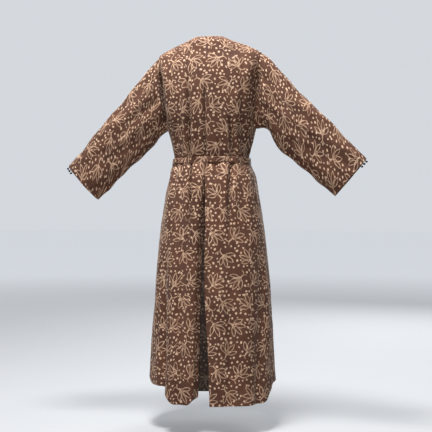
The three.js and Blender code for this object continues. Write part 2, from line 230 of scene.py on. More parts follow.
def spaced(length_count, fine_start=0.0015, fine_end=0.0015, length=0.3):
    """Places from 0 to 1 along an edge that is about that long, with a few close to each end."""
    near = np.array([0.0, 1.0, 2.2, 4.0])
    start, end = near * fine_start / length, 1 - near[::-1] * fine_end / length
    return np.concatenate([start, np.linspace(start[-1], end[0], length_count)[1:-1], end])


# ---- Folds and creases of the body ----------------------------------------------------------------
def armhole_groove(z, side, back):
    """How far the armhole's seam is pulled in, towards the middle of the sleeve."""
    if back:
        deep = 0.046 if side < 0 else 0.026
        return deep * smooth(z, -0.085, -0.17) * smooth(z, ARM_BOTTOM, ARM_BOTTOM + 0.045)
    return 0.012 * smooth(z, -0.09, -0.18) * smooth(z, ARM_BOTTOM, ARM_BOTTOM + 0.045)


def hem_z(angle):
    """The height of the hem: lowest at the back, and lifted at the sides."""
    a = (np.degrees(angle) + 180) % 360 - 180
    left = 0.054 * smooth(-a, 20, 41) + 0.020 * smooth(-a, 50, 90)
    right = 0.060 * smooth(a, 60, 86)
    beside_pleat = 0.024 * smooth(-a, 9.5, 1.5) * (a < 0)
    return HEM_Z + 0.002 + left + right + beside_pleat


def pleat_x(z):
    """x of the crisp edge of the centre back pleat, on the wearer's right."""
    down = (0.50, 0.60, 0.68, 0.80, 0.96, 1.04, 1.12, 1.20, 1.33)
    x = (0.0, 0.004, 0.0075, 0.009, 0.014, 0.020, 0.027, 0.033, 0.037)
    return np.interp(-np.asarray(z, float), down, x)


def pleat_left_x(z):
    """x where the cloth on the left turns into the pleat."""
    return np.interp(-np.asarray(z, float), (0.60, 0.75, 0.83, 1.33), (0.0, -0.004, -0.008, -0.011))


# Each fold of the back: depth (below zero is a valley), x, width, share of the sway, and where it shows.
BACK_FOLDS = (
    # From the shoulder blades to the belt.
    (-0.0190, -0.063, 0.0048, 1, "upper"),
    (0.0065, -0.078, 0.0095, 1, "upper"),
    (0.0050, -0.046, 0.0100, 1, "upper"),
    (-0.0095, 0.000, 0.0048, 0, "seam"),
    (0.0030, -0.014, 0.0085, 0, "upper"),
    (0.0030, 0.016, 0.0100, 0, "upper"),
    (-0.0170, 0.094, 0.0050, -1, "near_waist"),
    (0.0055, 0.109, 0.0090, -1, "near_waist"),
    (0.0045, 0.078, 0.0100, -1, "near_waist"),
    (-0.0060, 0.047, 0.0065, 0, "near_waist"),
    (-0.0065, -0.112, 0.0065, 0, "near_waist"),
    (-0.0060, 0.135, 0.0120, 0, "blade"),
    (0.0045, 0.112, 0.0150, 0, "blade"),
    # Two soft pleats below the belt, and smaller ones beside them.
    (-0.0210, -0.051, 0.0048, 0, "below_belt"),
    (-0.0150, 0.092, 0.0056, 0, "below_belt"),
    (0.0060, 0.074, 0.0120, 0, "below_belt"),
    (0.0050, 0.110, 0.0110, 0, "below_belt"),
    (-0.0080, -0.118, 0.0065, 0, "short_left"),
    (-0.0060, 0.038, 0.0070, 0, "short_right"),
    # Long soft folds of the skirt, deeper towards the hem.
    (-0.020, -0.147, 0.012, 0, "skirt"),
    (0.009, -0.112, 0.022, 0, "skirt"),
    (-0.006, -0.075, 0.013, 0, "skirt"),
    (0.007, 0.052, 0.026, 0, "skirt"),
    (-0.010, 0.105, 0.016, 0, "skirt"),
    (0.008, 0.158, 0.020, 0, "skirt"),
    (-0.013, 0.198, 0.012, 0, "skirt"),
)


def back_folds(p):
    x, z = p[..., 0], p[..., 2]
    upper = smooth(z, -0.13, -0.24) * smooth(z, -0.47, -0.44)
    lower = smooth(z, -0.452, -0.475)
    fade = lower * smooth(z, -0.80, -0.60)
    shows = {
        "upper": upper,
        "seam": smooth(z, -0.15, -0.24),
        "near_waist": upper * smooth(z, -0.28, -0.37),
        "blade": upper * smooth(z, -0.16, -0.24),
        "below_belt": fade,
        "short_left": lower * smooth(z, -0.66, -0.50),
        "short_right": lower * smooth(z, -0.62, -0.50),
        "skirt": smooth(z, -0.62, -1.25),
    }
    sway = 0.004 * np.sin(z * 14)
    # The raised panel between the left pleat and the centre.
    d = 0.0095 * smooth(x, -0.054, -0.040) * smooth(x, 0.006, -0.008) * fade
    for depth, where, width, sways, region in BACK_FOLDS:
        d = d + depth * bump(x, where + sways * sway, width) * shows[region]
    return d


def front_folds(p):
    x, z = p[..., 0], p[..., 2]
    upper = smooth(z, -0.16, -0.28) * smooth(z, -0.47, -0.44)
    lower = smooth(z, -0.452, -0.475)
    near = upper * smooth(z, -0.24, -0.38)
    fade = lower * smooth(z, -0.82, -0.58)
    slant = 0.10 * (z + 0.45)
    d = np.zeros(x.shape)
    for where, depth in ((-0.105, 0.006), (-0.045, 0.004), (0.035, 0.004), (0.088, 0.006)):
        d -= depth * bump(x, where - slant, 0.007) * near
        d += 0.5 * depth * bump(x, where + 0.018 - slant, 0.011) * near
        d -= 1.2 * depth * bump(x, where + slant * np.sign(-where), 0.0075) * fade
        d += 0.6 * depth * bump(x, where + 0.020, 0.014) * fade
    down = smooth(z, -0.62, -1.25)
    valleys = ((-0.17, 0.012, 0.02), (-0.06, 0.006, 0.03), (0.06, 0.007, 0.03), (0.165, 0.013, 0.02))
    for where, depth, width in valleys:
        d -= depth * bump(x, where, width) * down
    d += 0.006 * (bump(x, -0.115, 0.025) + bump(x, 0.0, 0.03) + bump(x, 0.112, 0.025)) * down
    return d


def body_surface(angle, z, side, back, lift=0.0):
    """The draped surface of a body panel over a grid of angles and heights."""
    hem = hem_z(angle)
    drop = smooth(z, -0.75, HEM_Z)
    z = z + (hem - HEM_Z) * drop
    p = skin(angle, z)
    # The shoulder neck point stands a little above the back of the neck.
    p[..., 2] -= 0.008 * smooth(z, -0.03, 0.0) * np.cos(angle) ** 2 * (1 if back else 0)
    # The shoulders slope straight from the neck, and the skirt hangs closer on the left.
    p[..., 2] -= 0.012 * bump(np.abs(p[..., 0]), 0.110, 0.050) * smooth(z, -0.13, -0.05)
    p[..., 0] *= 1 - 0.045 * smooth(-p[..., 0], 0.02, 0.12) * smooth(z, -0.46, -0.52)
    n = grid_normals(p)
    middle = np.stack([0 * p[..., 0], section(z)[2], p[..., 2]], axis=-1)
    n *= np.sign(np.sum(n * (p - middle), axis=-1, keepdims=True) + 1e-9)
    d = back_folds(p) if back else front_folds(p)
    d *= 1 - 0.75 * bump(z, BELT_Z, 0.013)
    # The belt gathers the cloth into small ripples, and pinches it.
    away = np.abs(z - BELT_Z)
    arc = angle * section(z)[0]
    ripple = np.sin(arc / 0.0042 + 2.2 * np.sin(arc / 0.021)) + 0.6 * np.sin(arc / 0.0067 + 1.3)
    d += 0.0015 * ripple * np.exp(-((away / 0.036) ** 2)) * smooth(away, 0.006, 0.016)
    d -= 0.0020 * bump(z, BELT_Z, 0.013)
    d += 0.0025 * bump(z, BELT_Z + 0.032, 0.016)
    # Uneven drape, long down the cloth and short across it.
    free = smooth(z, -0.01, -0.12) * (1 - 0.8 * bump(z, BELT_Z, 0.018))
    d += 0.0050 * cloud(p, (0.050, 0.050, 0.30), 1) * free
    d += 0.0030 * cloud(p, (0.024, 0.024, 0.12), 4) * free * smooth(z, -0.15, -0.30)
    d += 0.0010 * cloud(p, (0.014, 0.014, 0.04), 3) * free
    p = p + n * (d + lift)[..., None]
    # The armhole's seam is drawn in, and the cloth beside it rolls over into it.
    beside = np.maximum(armhole_x(p[..., 2]) - np.abs(p[..., 0]), 0)
    width = 0.0085 if side < 0 else 0.016
    pull = armhole_groove(p[..., 2], side, back) * np.exp(-((beside / width) ** 2))
    pull -= 0.16 * armhole_groove(p[..., 2], side, back) * bump(beside, 0.026, 0.014)
    p[..., 1] += pull if back else -pull
    return p


# ---- Grids into pieces ----------------------------------------------------------------------------
def set_uv(mesh, uv_of_vertex):
    layer = mesh.uv_layers.new(name="print")
    index = np.zeros(len(mesh.loops), int)
    mesh.loops.foreach_get("vertex_index", index)
    layer.data.foreach_set("uv", uv_of_vertex[index].astype(np.float32).ravel())


def weld(mesh, distance):
    """Merges the vertices that meet and winds the faces to point out."""
    shape = bmesh.new()
    shape.from_mesh(mesh)
    bmesh.ops.remove_doubles(shape, verts=shape.verts, dist=distance)
    bmesh.ops.recalc_face_normals(shape, faces=shape.faces)
    shape.to_mesh(mesh)
    shape.free()


def add_piece(name, mesh, material):
    mesh.polygons.foreach_set("use_smooth", np.ones(len(mesh.polygons), bool))
    mesh.materials.append(material)
    piece = bpy.data.objects.new(name, mesh)
    bpy.context.scene.collection.objects.link(piece)
    return piece


def grid_faces(index):
    a, b, c, d = index[:-1, :-1], index[:-1, 1:], index[1:, 1:], index[1:, :-1]
    return np.stack([a, b, c, d], axis=-1).reshape(-1, 4)


def set_stitches(mesh, number, values):
    """The distance of each vertex from a row of stitches."""
    attribute = mesh.attributes.new(f"stitch_{number}", "FLOAT", "POINT")
    attribute.data.foreach_set("value", values.astype(np.float32))


def closed_cloth(name, grid, uv, material, thickness=CLOTH, centre=(0, 0, 0), stitches=()):
    """A closed thin sheet whose outer face is the grid, away from the centre.

    stitches holds each point's distance from up to two rows of stitches.
    """
    rows, columns = grid.shape[:2]
    n = grid_normals(grid)
    turned = np.mean(np.sum(n * (grid - np.array(centre)), axis=-1)) < 0
    if turned:
        n = -n
    inner = grid - n * thickness
    vertices = np.concatenate([grid.reshape(-1, 3), inner.reshape(-1, 3)])
    index = np.arange(rows * columns).reshape(rows, columns)
    outer_faces = grid_faces(index)
    inner_faces = outer_faces[:, ::-1] + rows * columns
    ring = np.concatenate([index[0, :-1], index[:-1, -1], index[-1, :0:-1], index[:0:-1, 0]])
    following = np.roll(ring, -1)
    rim = np.stack([following, ring, ring + rows * columns, following + rows * columns], axis=-1)
    faces = np.concatenate([outer_faces, inner_faces, rim])
    # The faces are wound so that they point away from the centre.
    if not turned:
        faces = faces[:, ::-1]
    mesh = bpy.data.meshes.new(name)
    mesh.from_pydata(vertices.tolist(), [], faces.tolist())
    set_uv(mesh, np.concatenate([uv.reshape(-1, 2)] * 2))
    for number in (1, 2):
        values = np.ones(rows * columns)
        if len(stitches) >= number:
            values = np.broadcast_to(stitches[number - 1], (rows, columns)).reshape(-1)
        set_stitches(mesh, number, np.concatenate([values, values]))
    piece = add_piece(name, mesh, material)
    mesh.set_sharp_from_angle(angle=SHARP_ANGLE)
    mesh.update()
    return piece


def lengths(p, axis):
    """Length along the grid from its first row or column."""
    step = np.linalg.norm(np.diff(p, axis=axis), axis=-1)
    zero = np.zeros_like(np.take(step, [0], axis=axis))
    return np.concatenate([zero, np.cumsum(step, axis=axis)], axis=axis)


def stand_for(piece, name, body):
    """The piece stands for that CAD node and moves with that body."""
    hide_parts(name)
    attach(piece, body)


# ---- Materials ------------------------------------------------------------------------------------
def srgb(red, green, blue):
    def linear(value):
        value /= 255
        return value / 12.92 if value <= 0.04045 else ((value + 0.055) / 1.055) ** 2.4

    return (linear(red), linear(green), linear(blue), 1.0)


class Nodes:
    """Short names for making shader nodes."""

    def __init__(self, tree):
        self.tree = tree

    def add(self, kind, **settings):
        node = self.tree.nodes.new(kind)
        for name, value in settings.items():
            setattr(node, name, value)
        return node

    def feed(self, socket, value):
        if isinstance(value, bpy.types.NodeSocket):
            self.tree.links.new(value, socket)
        else:
            socket.default_value = value

    def math(self, operation, a, b=0.0, c=None):
        node = self.add("ShaderNodeMath", operation=operation)
        self.feed(node.inputs[0], a)
        self.feed(node.inputs[1], b)
        if c is not None:
            self.feed(node.inputs[2], c)
        return node.outputs[0]

    def vector(self, operation, a, b=(0.0, 0.0, 0.0)):
        node = self.add("ShaderNodeVectorMath", operation=operation)
        self.feed(node.inputs[0], a)
        self.feed(node.inputs[1], b)
        return node.outputs["Value" if operation in ("DOT_PRODUCT", "LENGTH", "DISTANCE") else "Vector"]

    def combine(self, x, y, z=0.0):
        node = self.add("ShaderNodeCombineXYZ")
        for socket, value in zip(node.inputs, (x, y, z)):
            self.feed(socket, value)
        return node.outputs[0]

    def split(self, value):
        node = self.add("ShaderNodeSeparateXYZ")
        self.feed(node.inputs[0], value)
        return node.outputs

    def noise(self, where, scale, detail=2.0, output="Factor", roughness=0.5):
        node = self.add("ShaderNodeTexNoise")
        self.feed(node.inputs["Vector"], where)
        node.inputs["Scale"].default_value = scale
        node.inputs["Detail"].default_value = detail
        node.inputs["Roughness"].default_value = roughness
        return node.outputs[0 if output == "Factor" else 1]

    def random(self, where):
        node = self.add("ShaderNodeTexWhiteNoise", noise_dimensions="3D")
        self.feed(node.inputs["Vector"], where)
        return self.split(node.outputs["Color"])

    def range(self, value, low, high, to_low=0.0, to_high=1.0, smooth_step=True):
        node = self.add("ShaderNodeMapRange", interpolation_type="SMOOTHSTEP" if smooth_step else "LINEAR")
        for socket, number in zip(node.inputs, (value, low, high, to_low, to_high)):
            self.feed(socket, number)
        return node.outputs[0]

    def feed_all(self, node, values):
        for name, value in values.items():
            self.feed(node.inputs[name], value)

    def bump(self, height, strength, distance):
        node = self.add("ShaderNodeBump")
        self.feed_all(node, {"Strength": strength, "Distance": distance, "Height": height})
        return node.outputs[0]

    def mix(self, factor, a, b):
        node = self.add("ShaderNodeMix", data_type="RGBA")
        self.feed(node.inputs[0], factor)
        self.feed(node.inputs[6], a)
        self.feed(node.inputs[7], b)
        return node.outputs[2]


def new_material(name):
    material = bpy.data.materials.new(name)
    material.use_nodes = True
    return material, Nodes(material.node_tree), material.node_tree.nodes["Principled BSDF"]


CELL = (0.076, 0.080)  # one sprig of the print
# The leaves of a sprig: turn in degrees, length, half width, and length of the stalk.
LEAVES = (
    (-8, 0.0330, 0.0060, 0.0090),
    (26, 0.0365, 0.0061, 0.0125),
    (59, 0.0370, 0.0060, 0.0125),
    (94, 0.0320, 0.0060, 0.0085),
)
DOT_PITCH = 0.0166


def sprig_group():
    """Distance in metres from a point of the cloth to the lines of the nearest sprig, unsigned and signed."""
    tree = bpy.data.node_groups.new("sprig", "ShaderNodeTree")
    tree.interface.new_socket("Where", in_out="INPUT", socket_type="NodeSocketVector")
    tree.interface.new_socket("Line", in_out="OUTPUT", socket_type="NodeSocketFloat")
    tree.interface.new_socket("Clear", in_out="OUTPUT", socket_type="NodeSocketFloat")
    g = Nodes(tree)
    where = g.add("NodeGroupInput").outputs[0]
    x, y, _ = g.split(where)
    row = g.math("FLOOR", g.math("DIVIDE", y, CELL[1]))
    odd = g.math("FLOORED_MODULO", row, 2.0)
    x = g.math("MULTIPLY_ADD", odd, CELL[0] / 2, x)
    column = g.math("FLOOR", g.math("DIVIDE", x, CELL[0]))
    turn, tilt, flip = g.random(g.combine(column, row, 3.0))
    jitter = g.random(g.combine(column, row, 8.0))
    local_x = g.math("SUBTRACT", x, g.math("MULTIPLY", g.math("ADD", column, 0.5), CELL[0]))
    local_y = g.math("SUBTRACT", y, g.math("MULTIPLY", g.math("ADD", row, 0.5), CELL[1]))
    local_x = g.math("SUBTRACT", local_x, g.math("MULTIPLY_ADD", jitter[0], 0.005, -0.0025))
    local_y = g.math("SUBTRACT", local_y, g.math("MULTIPLY_ADD", jitter[1], 0.005, -0.0025))
    # One of four quarter turns, a small tilt, and a mirror image for half of them.
    quarter = g.math("MULTIPLY", g.math("FLOOR", g.math("MULTIPLY", turn, 4.0)), math.pi / 2)
    angle = g.math("ADD", quarter, g.math("MULTIPLY_ADD", tilt, 0.6, -0.3))
    cos, sin = g.math("COSINE", angle), g.math("SINE", angle)
    turned_x = g.math("ADD", g.math("MULTIPLY", local_x, cos), g.math("MULTIPLY", local_y, sin))
    turned_y = g.math("SUBTRACT", g.math("MULTIPLY", local_y, cos), g.math("MULTIPLY", local_x, sin))
    mirror = g.math("MULTIPLY_ADD", g.math("GREATER_THAN", flip, 0.5), 2.0, -1.0)
    turned_x = g.math("MULTIPLY", turned_x, mirror)
    point = g.combine(turned_x, turned_y)
    joint = g.vector("SUBTRACT", point, (-0.0130, -0.0140, 0.0))
    line, clear = None, None
    for turn_degrees, length, half, stalk in LEAVES:
        a = math.radians(turn_degrees)
        along = g.vector("DOT_PRODUCT", joint, (math.cos(a), math.sin(a), 0.0))
        across = g.math("ABSOLUTE", g.vector("DOT_PRODUCT", joint, (-math.sin(a), math.cos(a), 0.0)))
        radius = (length * length / 4 + half * half) / (2 * half)
        from_middle = g.math("SUBTRACT", along, length / 2 + stalk)
        corner = g.combine(from_middle, g.math("ADD", across, radius - half))
        signed = g.math("SUBTRACT", g.vector("LENGTH", corner), radius)
        unsigned = g.math("ABSOLUTE", signed)
        # The stalk, from the joint to the leaf.
        beyond = g.math("MAXIMUM", g.math("SUBTRACT", along, stalk), g.math("MULTIPLY", along, -1.0))
        off = g.math("MAXIMUM", beyond, across)
        unsigned = g.math("MINIMUM", unsigned, off)
        signed = g.math("MINIMUM", signed, off)
        line = unsigned if line is None else g.math("MINIMUM", line, unsigned)
        clear = signed if clear is None else g.math("MINIMUM", clear, signed)
    # The forked stem: two arcs that leave the joint the other way.
    jx, jy, _ = g.split(joint)
    for cx, cy, radius, low, high in (
        (0.0050, -0.0150, 0.0158, -0.0200, 0.0010),
        (-0.0120, 0.0060, 0.0134, -0.0080, 0.0005),
    ):
        ring = g.math("ABSOLUTE", g.math("SUBTRACT", g.vector("DISTANCE", joint, (cx, cy, 0.0)), radius))
        ring = g.math("MAXIMUM", ring, jx)
        ring = g.math("MAXIMUM", ring, g.math("SUBTRACT", low, jy))
        ring = g.math("MAXIMUM", ring, g.math("SUBTRACT", jy, high))
        line = g.math("MINIMUM", line, ring)
        clear = g.math("MINIMUM", clear, ring)
    end = g.add("NodeGroupOutput")
    g.feed(end.inputs[0], line)
    g.feed(end.inputs[1], clear)
    return tree


SPRIG = sprig_group()


def printed_cloth(name, darker=1.0):
    """Brown cotton, printed by hand with cream sprigs and dots, in the metres of its 'print' map."""
    material, g, shader = new_material(name)
    uv = g.add("ShaderNodeUVMap", uv_map="print").outputs[0]

    def sprig(where):
        node = g.add("ShaderNodeGroup", node_tree=SPRIG)
        g.feed(node.inputs[0], where)
        return node.outputs

    def tone(red, green, blue):
        return srgb(red * darker, green * darker, blue * darker)

    def patch(shift, scale, low, high, most):
        """Cloudy patches: 0 to most."""
        where = g.vector("ADD", uv, shift)
        return g.range(g.noise(where, scale, 3.0), low, high, 0.0, most)

    # The cloth is never printed quite true, so the pattern wanders a little.
    wander = g.vector("SUBTRACT", g.noise(uv, 22.0, 2.0, "Color"), (0.5, 0.5, 0.5))
    wandered = g.vector("ADD", uv, g.vector("MULTIPLY", wander, (0.010, 0.010, 0.0)))
    line = sprig(wandered)[0]
    uneven = g.noise(uv, 420.0, 2.0)
    patchy = g.noise(uv, 75.0, 2.0)
    width = g.math("MULTIPLY_ADD", patchy, 0.0016, 0.00025)
    width = g.math("ADD", width, g.math("MULTIPLY_ADD", uneven, 0.0010, -0.0005))
    on_line = g.range(g.math("SUBTRACT", line, width), 0.0006, -0.0003)
    # Dots in a loose grid, left out wherever a sprig comes near.
    x, y, _ = g.split(uv)
    row = g.math("FLOOR", g.math("DIVIDE", y, DOT_PITCH))
    shifted = g.math("MULTIPLY_ADD", g.math("FLOORED_MODULO", row, 2.0), DOT_PITCH / 2, x)
    column = g.math("FLOOR", g.math("DIVIDE", shifted, DOT_PITCH))
    chance = g.random(g.combine(column, row, 21.0))
    shape = g.random(g.combine(column, row, 34.0))
    dot_x = g.math("ADD", column, g.math("MULTIPLY_ADD", chance[0], 0.60, 0.20))
    dot_y = g.math("ADD", row, g.math("MULTIPLY_ADD", chance[1], 0.60, 0.20))
    dot_x, dot_y = [g.math("MULTIPLY", dot, DOT_PITCH) for dot in (dot_x, dot_y)]
    dot_x = g.math("SUBTRACT", dot_x, g.math("SUBTRACT", shifted, x))
    centre = g.combine(dot_x, dot_y)
    room = g.range(sprig(centre)[1], 0.0032, 0.0040)
    away = g.vector("SUBTRACT", uv, centre)
    slant = g.math("MULTIPLY", shape[0], math.tau)
    long_way = g.vector("DOT_PRODUCT", away, g.combine(g.math("COSINE", slant), g.math("SINE", slant)))
    stretch = g.math("MULTIPLY", g.math("ABSOLUTE", long_way), g.math("MULTIPLY", shape[1], 0.34))
    reach = g.math("SUBTRACT", g.vector("LENGTH", away), stretch)
    ragged = g.math("MULTIPLY_ADD", uneven, 0.0014, -0.0007)
    size = g.math("ADD", g.math("MULTIPLY_ADD", chance[2], 0.0015, 0.0023), ragged)
    on_dot = g.math("MULTIPLY", g.range(g.math("SUBTRACT", reach, size), 0.0005, -0.0004), room)
    on_dot = g.math("MULTIPLY", on_dot, g.math("GREATER_THAN", shape[2], 0.10))
    printed = g.math("MAXIMUM", on_line, on_dot)
    fade = g.range(g.noise(uv, 130.0, 3.0), 0.22, 0.60, 0.62, 1.0)
    printed = g.math("MULTIPLY", printed, fade)

    # The ground is mottled brown; the print runs from tan to cream.
    ground = g.mix(g.range(g.noise(uv, 9.0, 3.0), 0.30, 0.70), tone(68, 39, 25), tone(86, 53, 36))
    ground = g.mix(patch((3.0, 1.0, 0.0), 24.0, 0.42, 0.72, 0.55), ground, tone(70, 45, 38))
    ground = g.mix(patch((7.0, 5.0, 0.0), 160.0, 0.40, 0.75, 0.45), ground, tone(60, 36, 26))
    cream = g.mix(g.range(patchy, 0.30, 0.70), tone(160, 128, 104), tone(189, 159, 134))
    cream = g.mix(g.math("MULTIPLY", on_dot, 0.6), cream, tone(206, 176, 150))
    colour = g.mix(printed, ground, cream)

    # Threads, slubs, soft crumples and the rows of stitches.
    thread = math.tau / 0.00062
    warp = g.math("SINE", g.math("MULTIPLY", x, thread))
    weft = g.math("SINE", g.math("MULTIPLY", y, thread))
    weave = g.math("MULTIPLY", warp, weft)
    slub_u = g.noise(g.vector("MULTIPLY", uv, (60.0, 1600.0, 0.0)), 1.0, 1.0)
    slub_v = g.noise(g.vector("MULTIPLY", uv, (1600.0, 60.0, 0.0)), 1.0, 1.0)
    slubs = g.math("ADD", slub_u, slub_v)
    colour = g.mix(g.range(slubs, 0.85, 1.25, 0.0, 0.16), colour, tone(70, 46, 36))
    stitched, pucker = 0.0, 0.0
    for number in (1, 2):
        far = g.add("ShaderNodeAttribute", attribute_name=f"stitch_{number}").outputs["Fac"]
        near = g.range(g.math("ABSOLUTE", far), 0.00075, 0.00035)
        dash = g.math("SINE", g.math("MULTIPLY", y if number == 2 else x, math.tau / 0.0032))
        stitched = g.math("MAXIMUM", stitched, g.math("MULTIPLY", near, g.range(dash, -0.55, -0.25)))
        pucker = g.math("MAXIMUM", pucker, g.range(g.math("ABSOLUTE", far), 0.0030, 0.0006))
    colour = g.mix(g.math("MULTIPLY", stitched, 0.8), colour, tone(120, 88, 68))
    crumple = g.noise(uv, 46.0, 4.0, roughness=0.55)
    height = g.math("MULTIPLY", crumple, 0.0016)
    for relief_of, metres in ((weave, 0.00003), (slubs, 0.00005), (stitched, 0.00025), (pucker, -0.00035)):
        height = g.math("MULTIPLY_ADD", relief_of, metres, height)
    look = {
        "Base Color": colour,
        "Normal": g.bump(height, 0.75, 1.0),
        "Roughness": g.range(g.noise(uv, 60.0, 2.0), 0.2, 0.8, 0.78, 0.92),
        "Specular IOR Level": 0.28,
        "Sheen Weight": 0.10,
        "Sheen Roughness": 0.45,
        "Sheen Tint": (0.85, 0.72, 0.62, 1.0),
    }
    g.feed_all(shader, look)
    return material


def button_material():
    """Gloss black moulded plastic with fine scratches."""
    material, g, shader = new_material("button_gloss")
    where = g.add("ShaderNodeTexCoord").outputs["Object"]
    worn = g.noise(where, 300.0, 3.0)
    scratch = g.noise(g.vector("MULTIPLY", where, (900.0, 120.0, 300.0)), 1.0, 2.0)
    look = {
        "Base Color": g.mix(worn, srgb(16, 14, 15), srgb(38, 33, 33)),
        "Roughness": g.range(scratch, 0.35, 0.75, 0.12, 0.34),
        "Normal": g.bump(scratch, 0.15, 0.0002),
        "Coat Weight": 0.5,
        "Coat Roughness": 0.08,
    }
    g.feed_all(shader, look)
    return material


PRINT = printed_cloth("printed_cotton")
PRINT_INSIDE = printed_cloth("printed_cotton_inside", 0.86)
# A copy of the print darkened to 0.42: painted shade for the cloth deep inside the pleat.
PRINT_PAINTED_SHADE = printed_cloth("printed_cotton_painted_shade", 0.42)
BUTTON = button_material()


# ---- The body -------------------------------------------------------------------------------------
# The rows are closer together at the two ends of the armhole, where its edge turns sharply.
AT_ARM = np.array([0.0, 0.0003, 0.0009, 0.0020])
AT_ARM = np.concatenate([ARM_TOP - AT_ARM, ARM_BOTTOM + AT_ARM])
EVEN_ROWS = np.linspace(0.0, BELT_Z, 110)
EVEN_ROWS = EVEN_ROWS[np.abs(EVEN_ROWS[:, None] - AT_ARM[None, :]).min(axis=1) > 0.0010]
ROWS_BODICE = np.sort(np.concatenate([EVEN_ROWS, AT_ARM]))[::-1]
ROWS_SKIRT = np.linspace(BELT_Z, HEM_Z, 175)
ROWS = np.concatenate([ROWS_BODICE[:-1], ROWS_SKIRT])


def panel_uv(grid, middle_column, z_rows, sign):
    """Metres across from one column, and down from the belt."""
    across = lengths(grid, 1)
    across = across - across[:, middle_column : middle_column + 1]
    down = lengths(grid, 0)
    at_belt = np.array([np.interp(-BELT_Z, -z_rows, down[:, k]) for k in range(grid.shape[1])])
    return np.stack([sign * across, at_belt[None, :] - down], axis=-1)


def edge_notch(grid, distance, centre, depth=0.0011, width=0.0016):
    """The cloth rolls in at a seam."""
    n = grid_normals(grid)
    if np.mean(np.sum(n * (grid - centre), axis=-1)) < 0:
        n = -n
    return grid - n * (depth * np.exp(-((distance / width) ** 2)))[..., None]


def back_panel(side):
    """Rows run from the neck to the hem, columns from the centre back to the side."""
    z = ROWS[:, None]
    t = spaced(84, length=0.25)[None, :]
    half_width = section(z)[0]
    first = side_angle((pleat_x(z) if side > 0 else -pleat_left_x(z)) / half_width)
    outer = side_edge(z)
    angle = side * (first + (outer - first) * t)
    grid = body_surface(angle, np.broadcast_to(z, angle.shape), side, True)
    from_centre = lengths(grid, 1)
    from_side = from_centre[:, -1:] - from_centre
    grid = edge_notch(grid, from_side, BODY_MIDDLE)
    # Where the pleat is open there is no seam at the centre, so the seam is put far away.
    open_part = smooth(z, PLEAT_TOP, -0.575)
    grid = edge_notch(grid, from_centre + open_part, BODY_MIDDLE)
    # Above the pleat the two backs meet at the centre seam.
    meeting = np.exp(-((from_centre / 0.005) ** 2)) * smooth(z, -0.545, -0.50)
    grid[..., 0] -= (grid[:, :1, 0] - side * 0.00012) * meeting
    if side < 0:
        # The left side rolls softly into the pleat.
        x = grid[..., 0]
        turn = pleat_left_x(z)
        roll = smooth(x, turn - 0.026, turn + 0.003) ** 2.4 * smooth(z, PLEAT_TOP, -0.70)
        grid[..., 1] += 0.034 * roll
        grid[..., 1] -= 0.003 * bump(x, turn - 0.030, 0.014) * smooth(z, -0.60, -0.70)
        return grid, None
    # The right side turns back sharply at its edge: the cloth goes on inside.
    fold = grid[:, :1]
    r = np.linspace(1, 0, 7, endpoint=False)[None, :, None]
    inside = np.concatenate([0.004 * r + 0.0016 * np.sin(r * 5), 0.026 * r, 0 * r], axis=-1)
    return grid, fold + inside * smooth(z, PLEAT_TOP, -0.62)[..., None]


def make_back(side):
    name = "back_" + SIDE_NAME[side]
    grid, returned = back_panel(side)
    middle = 0
    if returned is not None:
        grid = np.concatenate([returned, grid], axis=1)
        middle = returned.shape[1]
    uv = panel_uv(grid, middle, ROWS, side)
    from_neck = lengths(grid, 0)
    to_hem = from_neck[-1:] - from_neck
    stitches = (to_hem - HEM_STITCH, from_neck - 0.006)
    piece = closed_cloth(name + "_cloth", grid, uv, PRINT, centre=BODY_MIDDLE, stitches=stitches)
    stand_for(piece, name, "gown")
    return grid[:, middle:]


def edge_x(z):
    """x of the right front's free edge; the left front's is its mirror image."""
    above = np.clip(z / BELT_Z, 0, 1)
    below = np.clip((z - BELT_Z) / (HEM_Z - BELT_Z), 0, 1)
    return NECK_EDGE_X - (WRAP_X + NECK_EDGE_X) * above**1.25 - (WRAP_HEM_X - WRAP_X) * below


def wrap_lift(angle):
    """How far the right front lies outside the left one; the angle is measured as on the skin."""
    degrees = np.degrees(angle) % 360
    return LAYER * smooth(degrees, 118, 150) * (1 - smooth(degrees, 222, 250))


def front_panel(side, lift=0.0, t=None, z=ROWS):
    """Rows run down from the neck; t is the share of the way from the side to the free edge."""
    z = z[:, None]
    if t is None:
        t = spaced(100, length=0.33)[None, :]
    outer = side * side_edge(z)
    free = side_angle(side * edge_x(z) / section(z)[0])
    angle = math.pi - (outer + (free - outer) * t)
    over = wrap_lift(angle) if side > 0 else 0.0
    return body_surface(angle, np.broadcast_to(z, angle.shape), side, False, over + lift)


JOINTS = {joint["name"]: joint for joint in frame["joints"]}
FOLD_AXIS = np.array(JOINTS["front_flap_open"]["axis"], float)
FOLD_AXIS /= np.linalg.norm(FOLD_AXIS)
FLAP_WAY = np.cross(FOLD_AXIS, (0, 1, 0))
FLAP_WAY *= -np.sign(FLAP_WAY[0]) / np.linalg.norm(FLAP_WAY)


def stand_for_front(piece, name, flap):
    """The left front stands for its CAD node and moves with the gown. The right front is one cloth with its
    flap: both CAD nodes are hidden, and it stays fixed where it is drawn.
    """
    if name.endswith("left"):
        stand_for(piece, name, "gown")
        return
    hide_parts(name, flap)
    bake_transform(piece)


def make_front(side):
    name = "front_" + SIDE_NAME[side]
    grid = front_panel(side)
    distance = lengths(grid, 1)
    grid = edge_notch(grid, distance, BODY_MIDDLE)
    free = distance[:, -1:] - distance
    uv = panel_uv(grid, grid.shape[1] // 2, ROWS, -side)
    from_neck = lengths(grid, 0)
    stitches = (from_neck[-1:] - from_neck - HEM_STITCH, free - 0.025)
    piece = closed_cloth(name + "_cloth", grid, uv, PRINT, centre=BODY_MIDDLE, stitches=stitches)
    stand_for_front(piece, name, "front_right_flap")
    return grid


